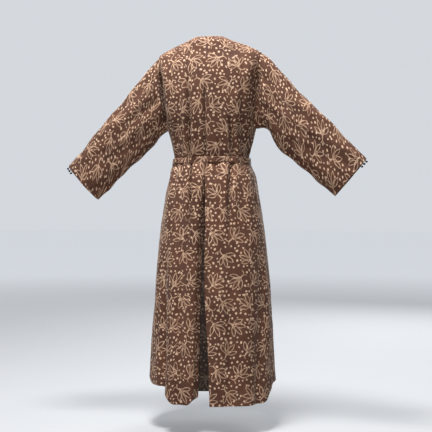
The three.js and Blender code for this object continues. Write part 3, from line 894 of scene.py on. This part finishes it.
def make_facing(side):
    """The band turned in along a free front edge."""
    name = "front_facing_" + SIDE_NAME[side]
    z = ROWS[ROWS < -0.012]
    lift = -CLOTH - FACING_GAP
    span = lengths(front_panel(side, lift, z=z), 1)[:, -1:]
    share = 1 - np.linspace(FRONT_FACING, 0.0008, 9)[None, :] / span
    grid = front_panel(side, lift, share, z)
    uv = panel_uv(grid, 0, z, side)
    piece = closed_cloth(name + "_cloth", grid, uv + 0.31, PRINT_INSIDE, FACING_CLOTH, BODY_MIDDLE)
    stand_for_front(piece, name, "front_facing_flap")


def make_neck_facing():
    z = np.linspace(-0.0006, -NECK_FACING, 9)[:, None]
    angle = np.linspace(-math.pi / 2, math.pi / 2, 90)[None, :] * 0.985
    grid = body_surface(*np.broadcast_arrays(angle, z), 1, True, -CLOTH - FACING_GAP)
    uv = panel_uv(grid, 45, z[:, 0], 1)
    centre = (0, 0, -NECK_FACING / 2)
    piece = closed_cloth("back_neck_facing_cloth", grid, uv + 0.17, PRINT_INSIDE, FACING_CLOTH, centre)
    stand_for(piece, "back_neck_facing", "gown")


def make_underlay():
    """The cloth seen deep inside the pleat, in the print darkened to 0.42 as painted shade."""
    z = np.linspace(PLEAT_TOP - 0.030, HEM_Z + 0.046, 120)[:, None]
    x = np.linspace(-0.034, 0.052, 26)[None, :]
    half_width, half_depth, centre = section(z)
    y = centre - half_depth * np.cos(side_angle(x / half_width)) ** (2 / SQUARENESS)
    deep = PLEAT_DEPTH + 0.003 * np.sin(x * 60) + 0.003 * np.sin(z * 9)
    grid = np.stack([np.broadcast_to(x, y.shape), y + deep, np.broadcast_to(z, y.shape)], axis=-1)
    uv = panel_uv(grid, 0, z[:, 0], 1)
    # The underlay wears the darkened print, which is painted shade.
    piece = closed_cloth("back_pleat_underlay_cloth", grid, uv + 0.53, PRINT_PAINTED_SHADE, centre=(0, 0.3, -0.9))
    stand_for(piece, "back_pleat_underlay", "gown")


# ---- The sleeves ----------------------------------------------------------------------------------
def resample(line, shares):
    """Points of a polyline at shares of its length."""
    step = np.linalg.norm(np.diff(line, axis=0), axis=1)
    at = np.concatenate([[0], np.cumsum(step)])
    at /= at[-1]
    return np.stack([np.interp(shares, at, line[:, k]) for k in range(3)], axis=-1)


def armhole_line(grid, column):
    """The part of that edge of a panel where the sleeve is sewn on."""
    inside = (ROWS < ARM_TOP + 1e-7) & (ROWS > ARM_BOTTOM - 1e-7)
    return grid[inside, column]


def button_profile():
    """The outline of a ball button and its shank: distance from the axis, and place along it."""
    profile = []
    for turn in np.linspace(0, math.pi, 19):
        reach, out = BUTTON_RADIUS * math.sin(turn), BUTTON_RADIUS * math.cos(turn)
        if out < 0 and reach < 0.0012:
            break
        dimple = 0.00035 * math.exp(-((reach / 0.0016) ** 2)) if out > 0 else 0.0
        profile.append((reach, out - dimple))
    return profile + [(0.0012, -0.0050), (0.0013, -0.0070), (0.0019, -0.0073), (0.0, -0.0074)]


class Sleeve:
    """One sleeve, drawn from the body's armhole edges to the oval of the cuff."""

    def __init__(self, side, back_edge, front_edge):
        self.side = side
        self.name = SIDE_NAME[side]
        drop = SLEEVE_DROP[side]
        turn = drop + CUFF_TURN
        self.along = np.array([side * math.cos(drop), 0, -math.sin(drop)])
        self.across = np.array([side * math.cos(turn), 0, -math.sin(turn)])
        top = np.array([side * armhole_x(ARM_TOP), section(ARM_TOP)[2], ARM_TOP])
        self.cuff_top = top + self.along * SLEEVE_LENGTH
        self.cuff_under = self.cuff_top + self.across * CUFF_WIDTH
        self.back_edge, self.front_edge = back_edge, front_edge
        self.up = np.cross(self.along, (0, 1, 0))
        self.up *= np.sign(self.up[2])

    def ring(self, share):
        """The armhole's own seam and the pull on it, round from the top by the back."""
        back = share <= 0.5
        at_back = resample(self.back_edge, np.clip(share * 2, 0, 1))
        at_front = resample(self.front_edge, np.clip(2 - share * 2, 0, 1))
        points = np.where(back[:, None], at_back, at_front)
        groove_back, groove_front = [armhole_groove(points[:, 2], self.side, part) for part in (True, False)]
        return points, np.where(back, groove_back, -groove_front)

    def cuff(self, share):
        turn = 2 * math.pi * share
        half = (self.cuff_top - self.cuff_under) / 2
        middle = self.cuff_top - half
        # The cuff hangs as an upright oval.
        points = middle + half * signed_power(np.cos(turn), 2 / CUFF_SQUARENESS)[:, None]
        points[:, 1] -= CUFF_HALF_DEPTH * signed_power(np.sin(turn), 2 / CUFF_SQUARENESS)
        return points

    def surface(self, share, s, inside=0.0):
        """share round the sleeve and s along it, 0 at the armhole and 1 at the cuff."""
        start, pull = self.ring(share)
        end = self.cuff(share)
        plain = start - np.stack([0 * pull, pull, 0 * pull], axis=-1)
        p = plain[None] + (end - plain)[None] * s[:, None, None]
        out = s[:, None] * SLEEVE_LENGTH
        wide = 0.0125 if self.side < 0 else 0.026
        p[..., 1] += pull[None] * np.exp(-((out / wide) ** 2))
        over = np.clip(np.cos(2 * math.pi * share), 0, 1)[None]
        under = np.clip(-np.cos(2 * math.pi * share), 0, 1)[None]
        crown = 0.006 if self.side > 0 else -0.002
        p += self.up * (crown * over**2 * bump(out, 0.045, 0.045) * smooth(out, 0.0, 0.02))[..., None]
        wave = 0.0016 * np.sin(out / 0.019 + self.side) + 0.0014 * np.sin(out / 0.043)
        wave = wave * (over**2 + under**2) * smooth(out, 0.02, 0.10) * smooth(s[:, None], 0.97, 0.85)
        p += self.up * wave[..., None]
        lift = 0.026 if self.side > 0 else 0.004
        p += self.up * (lift * under * bump(out, 0.060, 0.055) * smooth(out, 0.0, 0.03))[..., None]
        n = grid_normals(p)
        axis_point = (start.mean(0) * (1 - s[:, None]) + end.mean(0) * s[:, None])[:, None]
        n *= np.sign(np.sum(n * (p - axis_point), axis=-1, keepdims=True) + 1e-9)
        # Creases: long ones from the armpit to the cuff's upper corner, and an uneven drape.
        arc = lengths(p, 1)
        arc = arc - arc[:, :1]
        behind = np.where(share <= 0.5, 1.0, -1.0)[None]
        run = np.stack([arc + 0.30 * out * behind, 0 * arc + out, 0 * arc + 3.0 * behind], axis=-1)
        ease = smooth(out, 0.0, 0.05)
        near_edge = 1 - 0.6 * smooth(s[:, None], 0.90, 1.0)
        side_seam = np.abs(np.sin(2 * math.pi * share))[None] ** 0.5
        d = 0.0085 * cloud(run, (0.048, 0.24, 1.0), 5 + self.side) * ease * near_edge
        d = d + 0.0028 * cloud(run, (0.020, 0.10, 1.0), 9 + self.side) * ease
        d = d + 0.004 * np.sin(arc / 0.021 + 3.0 + 5 * s[:, None]) * bump(out, 0.075, 0.05) * under
        d = d * side_seam
        p = p + n * (d - inside)[..., None]
        # The edge at the armhole tucks in under the body.
        tuck = np.exp(-((out / 0.004) ** 2))[..., None]
        inward = start.mean(0) - start
        inward /= np.linalg.norm(inward, axis=1, keepdims=True)
        return p + tuck * (inward * 0.0016)[None] - tuck * np.array([self.side * 0.0030, 0, 0])

    def blend(self, piece):
        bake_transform(piece)

    def make(self):
        near_body = (0, 0.003, 0.008, 0.014, 0.022, 0.032, 0.044)
        near_cuff = (0.992, 0.996, 0.9985, 1.0)
        s = np.concatenate([near_body, np.linspace(0.056, 0.985, 92), near_cuff])
        middle = np.array([self.side * 0.34, 0.0, -0.36])
        for half, low, high in (("back", 0.0, 0.5), ("front", 0.5, 1.0)):
            share = low + (high - low) * spaced(58, 0.0012, 0.0012, 0.26)
            grid = self.surface(share, s)
            distance = lengths(grid, 1)
            nearest = np.minimum(distance, distance[:, -1:] - distance)
            grid = edge_notch(grid, nearest, middle, depth=0.0010)
            across = distance - distance[:, distance.shape[1] // 2][:, None]
            down = lengths(grid, 0)
            uv = np.stack([across * self.side, -down], axis=-1)
            uv += np.array([0.4, 0.2]) * (1 if half == "back" else 2)
            stitches = (down[-1:] - down - 0.030,)
            name = f"sleeve_{self.name}_{half}"
            piece = closed_cloth(name + "_cloth", grid, uv, PRINT, centre=middle, stitches=stitches)
            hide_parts(name)
            self.blend(piece)
        self.make_facing()
        self.make_buttons()

    def make_facing(self):
        share = np.linspace(0, 1, 121)
        s = np.linspace(1 - CUFF_FACING / SLEEVE_LENGTH, 0.9985, 9)
        # Taken from a fuller grid, so that its creases are the sleeve's own.
        full = np.concatenate([np.linspace(0, s[0], 60)[:-1], s])
        back = self.surface(share[share <= 0.5], full, CLOTH + FACING_CLOTH)
        front = self.surface(share[share >= 0.5], full, CLOTH + FACING_CLOTH)
        grid = np.concatenate([back, front[:, 1:]], axis=1)[-9:]
        down = lengths(grid, 0)
        uv = np.stack([lengths(grid, 1), -down], axis=-1) + 0.7
        middle = (self.cuff_top + self.cuff_under) / 2 - self.along * 0.02
        piece = closed_cloth(f"cuff_facing_{self.name}_cloth", grid, uv, PRINT_INSIDE, FACING_CLOTH, middle)
        stand_for(piece, f"cuff_facing_{self.name}", "sleeve_" + self.name)

    def make_buttons(self):
        side_way = np.array([0.0, 1.0, 0.0])
        up_way = np.cross(self.along, side_way)
        turns = math.tau * np.arange(BUTTON_SIDES) / BUTTON_SIDES
        profile = button_profile()
        faces = []
        for ring in range(len(profile) - 1):
            near, far = ring * BUTTON_SIDES, (ring + 1) * BUTTON_SIDES
            for k in range(BUTTON_SIDES):
                following = (k + 1) % BUTTON_SIDES
                faces.append((near + k, near + following, far + following, far + k))
        for index in range(3):
            name = f"cuff_button_{self.name}_{index + 1}"
            low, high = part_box(name)
            down = BUTTON_INSET + index * BUTTON_PITCH
            ball = self.cuff_top + self.across * down
            ball += self.along * (0.0004 + SHANK_LENGTH + BUTTON_RADIUS)
            ball[1] = (low.y + high.y) / 2
            vertices = []
            for reach, out in profile:
                for turn in turns:
                    way = side_way * math.cos(turn) + up_way * math.sin(turn)
                    vertices.append(tuple(ball + self.along * out + reach * way))
            mesh = bpy.data.meshes.new(name)
            mesh.from_pydata(vertices, [], faces)
            weld(mesh, 1e-6)
            piece = add_piece(name + "_ball", mesh, BUTTON)
            stand_for(piece, name, "sleeve_" + self.name)


# ---- The belt -------------------------------------------------------------------------------------
KNOT_OUT = np.array([math.sin(KNOT_ANGLE), -math.cos(KNOT_ANGLE), 0.0])
KNOT_ALONG = np.array([KNOT_OUT[1], -KNOT_OUT[0], 0.0])
knot_low, knot_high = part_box("belt_knot")
KNOT_AT = np.array((knot_low + knot_high) / 2)


def belt_point(angle, height, lift):
    """A point beside the belt; height is measured from the belt's middle."""
    angle, height = np.broadcast_arrays(angle, height)
    z = BELT_Z + height + 0.0016 * np.sin(2 * angle + 1.0) + 0.0008 * np.sin(5 * angle)
    p = skin(angle, z)
    # The belt keeps one size over its height, though the waist below it flares.
    flat = skin(angle, BELT_Z + 0 * height)
    p[..., :2] = 0.45 * p[..., :2] + 0.55 * flat[..., :2]
    out = np.stack([np.sin(angle), -np.cos(angle), 0 * angle], axis=-1)
    return p + out * (lift + wrap_lift(angle))[..., None]


def make_belt():
    reach = 0.010 / WAIST_RADIUS
    angle = np.linspace(KNOT_ANGLE - math.tau + reach, KNOT_ANGLE - reach, 520)[None, :]
    above = np.array([1.0, 0.985, 0.93, 0.75, 0.5, 0.25, 0.0])
    height = np.concatenate([above, -above[-2::-1]])[:, None] * BELT_HEIGHT / 2
    arc = angle * WAIST_RADIUS
    crease = 0.0006 * np.sin(arc / 0.0045 + 40 * height) + 0.0007 * np.sin(arc / 0.0121 - 90 * height)
    rounded = -0.0010 * (height / (BELT_HEIGHT / 2)) ** 6
    proud = 0.0036 + 0.0014 * smooth(np.sin(angle), -0.1, 0.3) * smooth(np.cos(angle), -0.2, 0.2)
    grid = belt_point(angle, height, crease + rounded + proud)
    across = lengths(grid, 1)
    uv = np.stack([across, np.broadcast_to(height, across.shape) + 0.037], axis=-1)
    edge = BELT_HEIGHT / 2 - np.abs(height)
    piece = closed_cloth("belt_band_cloth", grid, uv, PRINT, BELT_CLOTH, BELT_MIDDLE, (edge - 0.0022,))
    stand_for(piece, "belt_band", "gown")


def make_carrier(side):
    """A narrow loop over the belt at the side seam."""
    name = "belt_carrier_" + SIDE_NAME[side]
    low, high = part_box(name)
    height = np.linspace(high.z - low.z, 0, 40) - (high.z - low.z) / 2
    inside = np.abs(height) / height.max()
    lift = 0.0012 + 0.0062 * smooth(inside, 0.98, 0.72)
    across = np.linspace(-CARRIER_HALF_WIDTH, CARRIER_HALF_WIDTH, 7)[None, :]
    angle = side * math.pi / 2 + across / SIDE_RADIUS
    grid = belt_point(angle, height[:, None], lift[:, None] + 0 * across)
    down = lengths(grid, 0)
    uv = np.stack([np.broadcast_to(across, down.shape), -down], axis=-1) + 0.12
    stitches = (CARRIER_HALF_WIDTH - np.abs(across) - 0.0012,)
    piece = closed_cloth(name + "_cloth", grid, uv, PRINT, CARRIER_CLOTH, BELT_MIDDLE, stitches)
    stand_for(piece, name, "gown")


def at_knot(x, y, z):
    """x along the belt, y out from the body, z up, from the middle of the knot."""
    x, y, z = [np.asarray(value)[..., None] for value in (x, y, z)]
    return KNOT_AT + KNOT_ALONG * x + KNOT_OUT * y + np.array([0, 0, 1.0]) * z


def make_knot():
    turn = np.linspace(0, math.tau, 73)[None, :]
    rise = np.linspace(0.001, math.pi - 0.001, 41)[:, None]
    squash = 2 / 2.6
    x = KNOT_HALF[0] * signed_power(np.sin(rise), squash) * signed_power(np.cos(turn), squash)
    y = KNOT_HALF[1] * signed_power(np.sin(rise), squash) * signed_power(np.sin(turn), squash)
    z = KNOT_HALF[2] * signed_power(np.cos(rise), squash) + 0 * turn
    # The band crosses the knot aslant, in soft creases.
    slant = z + 0.55 * x
    edges = bump(slant, 0.0088, 0.0014) + bump(slant, -0.0090, 0.0014)
    crease = 1 + 0.055 * np.sin(slant / 0.0052 * 2.2) - 0.10 * edges
    grid = at_knot(x * crease, y * crease, z * (0.9 + 0.1 * crease))
    uv = np.stack([turn * 0.011 + 0 * rise, -rise * 0.011 + 0 * turn], axis=-1) + 0.23
    piece = closed_surface("belt_knot_cloth", grid, uv, PRINT)
    stand_for(piece, "belt_knot", "gown")


def closed_surface(name, grid, uv, material):
    """A closed ball from a grid whose first and last columns meet."""
    rows, columns = grid.shape[:2]
    index = np.arange(rows * columns).reshape(rows, columns)
    mesh = bpy.data.meshes.new(name)
    mesh.from_pydata(grid.reshape(-1, 3).tolist(), [], grid_faces(index).tolist())
    set_uv(mesh, uv.reshape(-1, 2))
    weld(mesh, 1e-5)
    for number in (1, 2):
        set_stitches(mesh, number, np.ones(len(mesh.vertices)))
    return add_piece(name, mesh, material)


def make_bow_loop(side):
    """A loop of the belt: out from the knot, round, and back over itself."""
    name = "bow_loop_front" if side > 0 else "bow_loop_side"
    t = np.linspace(0, 1, 90)[:, None]
    w = np.linspace(-1, 1, 13)[None, :]
    there = 1 - np.abs(2 * t - 1)
    reach = LOOP_START + LOOP_REACH * np.sin(there * math.pi / 2) ** 1.1
    apart = 0.0024 * np.sign(0.5 - t) * np.sin(np.clip(there, 0, 1) * math.pi) ** 0.6
    wide = 0.0045 + 0.0065 * smooth(there, 0.0, 0.55)
    centre_z = 0.0035 * np.sign(t - 0.5) * np.sin(there * math.pi)
    tilt = -math.radians(8)
    x = side * (reach + 0 * w)
    z = centre_z + wide * w
    y = -apart + 0.0011 * np.sin(5 * w + 9 * t) * there
    grid = at_knot(x * math.cos(tilt), y, z + np.abs(x) * math.sin(tilt))
    uv = np.stack([lengths(grid, 1), -lengths(grid, 0)], axis=-1) + (0.9 if side > 0 else 1.3)
    edge = np.minimum(1 - w, 1 + w) * wide
    piece = closed_cloth(name + "_cloth", grid, uv, PRINT, LOOP_CLOTH, stitches=(edge - 0.0018,))
    stand_for(piece, name, "gown")


def make_tie_end(side):
    """A hanging end of the belt, a little twisted."""
    name = "tie_end_side" if side > 0 else "tie_end_front"
    low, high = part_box(name)
    z = np.linspace(high.z, low.z, 110)[:, None]
    w = np.linspace(-1, 1, 11)[None, :]
    down = (high.z - z) / (high.z - low.z)
    middle = KNOT_ANGLE + np.radians(side * (4.8 + 1.5 * down))
    half = 0.0050 + 0.0042 * smooth(down, 0.0, 0.12)
    width_angle = half / np.hypot(section(z)[0], section(z)[1]) * 1.36
    angle = middle + width_angle * w
    z_all = z + 0 * w - 0.0008 * np.abs(w) ** 4
    base = skin(angle, z_all)
    out = np.stack([np.sin(angle), -np.cos(angle), 0 * angle], axis=-1)
    sway = 0.0022 * np.sin(down * 9 + side) + 0.0015 * w * np.sin(down * 7)
    crown = -0.0008 * w**2
    lift = TIE_STAND_OFF + sway + crown + wrap_lift(angle)
    grid = base + out * lift[..., None]
    across = TIE_HALF_WIDTH * w + 0 * z
    uv = np.stack([across, -lengths(grid, 0)], axis=-1) + (1.7 if side > 0 else 2.1)
    stitches = (TIE_HALF_WIDTH - np.abs(across) - 0.0020,)
    centre = (0, 0, float(np.mean(z)))
    piece = closed_cloth(name + "_cloth", grid, uv, PRINT, BELT_CLOTH, centre, stitches)
    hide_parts(name)
    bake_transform(piece)


back_right = make_back(1)
back_left = make_back(-1)
front_right = make_front(1)
front_left = make_front(-1)
make_facing(1)
make_facing(-1)
make_neck_facing()
make_underlay()
Sleeve(1, armhole_line(back_right, -1), armhole_line(front_right, 0)).make()
Sleeve(-1, armhole_line(back_left, -1), armhole_line(front_left, 0)).make()
make_belt()
make_carrier(1)
make_carrier(-1)
make_knot()
make_bow_loop(1)
make_bow_loop(-1)
make_tie_end(1)
make_tie_end(-1)


# ---- Floor, light and camera ----------------------------------------------------------------------
def floor_material():
    """Pale and matt. Far from the lights it keeps the same tone by a glow that only the camera sees."""
    material, g, shader = new_material("pale_floor")
    where = g.add("ShaderNodeTexCoord").outputs["Object"]
    pale = srgb(150, 152, 155)
    shade = tuple(c * 0.96 for c in pale[:3]) + (1,)
    from_middle = g.vector("LENGTH", g.add("ShaderNodeNewGeometry").outputs["Position"])
    even = g.range(from_middle, 1.5, 9.0, 0.22, 0.66)
    look = {
        "Base Color": g.mix(g.noise(where, 3.0, 4.0), pale, shade),
        "Roughness": 0.95,
        "Emission Color": (0.88, 0.92, 0.97, 1),
        "Emission Strength": g.math("MULTIPLY", g.add("ShaderNodeLightPath").outputs["Is Camera Ray"], even),
    }
    g.feed_all(shader, look)
    return material


floor_mesh = bpy.data.meshes.new("floor")
corners = [(x * FLOOR_HALF, y * FLOOR_HALF, 0) for x, y in ((-1, -1), (1, -1), (1, 1), (-1, 1))]
floor_mesh.from_pydata(corners, [], [(0, 1, 2, 3)])
floor_mesh.materials.append(floor_material())
floor = bpy.data.objects.new("floor", floor_mesh)
floor.location.z = FLOOR_Z
bpy.context.scene.collection.objects.link(floor)

world = bpy.data.worlds.new("studio")
world.use_nodes = True
sky = Nodes(world.node_tree)
seen, lit = world.node_tree.nodes["Background"], sky.add("ShaderNodeBackground")
seen.inputs["Color"].default_value = (0.66, 0.69, 0.73, 1)
lit.inputs["Color"].default_value = (0.86, 0.91, 1.0, 1)
lit.inputs["Strength"].default_value = 0.20
both = sky.add("ShaderNodeMixShader")
sky.feed(both.inputs[0], sky.add("ShaderNodeLightPath").outputs["Is Camera Ray"])
sky.feed(both.inputs[1], lit.outputs[0])
sky.feed(both.inputs[2], seen.outputs[0])
sky.feed(world.node_tree.nodes["World Output"].inputs[0], both.outputs[0])
bpy.context.scene.world = world


def area_light(name, position, target, size, power, colour=(1, 1, 1)):
    data = bpy.data.lights.new(name, "AREA")
    data.shape = "DISK"
    data.size = size
    data.energy = power
    data.color = colour
    light = bpy.data.objects.new(name, data)
    light.location = position
    light.rotation_euler = (Vector(target) - Vector(position)).to_track_quat("-Z", "Y").to_euler()
    bpy.context.scene.collection.objects.link(light)


area_light("key_light", (-0.15, -0.62, 1.75), (0, -0.05, -0.4), 0.8, 152, (1.0, 0.99, 0.97))
area_light("front_fill", (0.4, -4.2, -0.8), (0, 0, -1.15), 1.6, 84, (1.0, 0.98, 0.95))
area_light("left_fill", (-3.4, -0.6, 0.4), (0, 0, -0.7), 2.0, 26)
area_light("right_fill", (3.6, 0.2, 0.2), (0, 0, -0.8), 2.0, 18)
area_light("behind_light", (0.8, 3.4, 1.0), (0, 0, -0.7), 2.0, 120)

TURN = math.radians(12)
BACKWARD = Vector((math.sin(TURN), -math.cos(TURN), 0))
SIDEWAYS = Vector((math.cos(TURN), math.sin(TURN), 0))
camera_data = bpy.data.cameras.new("camera")
camera_data.lens = 72
camera_data.sensor_width = 36
camera = bpy.data.objects.new("camera", camera_data)
target = SIDEWAYS * 0.0166 + Vector((0, 0, -0.657))
camera.location = target + BACKWARD * 3.2
camera.rotation_euler = (-BACKWARD).to_track_quat("-Z", "Y").to_euler()
bpy.context.scene.collection.objects.link(camera)
bpy.context.scene.camera = camera
bpy.context.scene.view_settings.view_transform = "Standard"
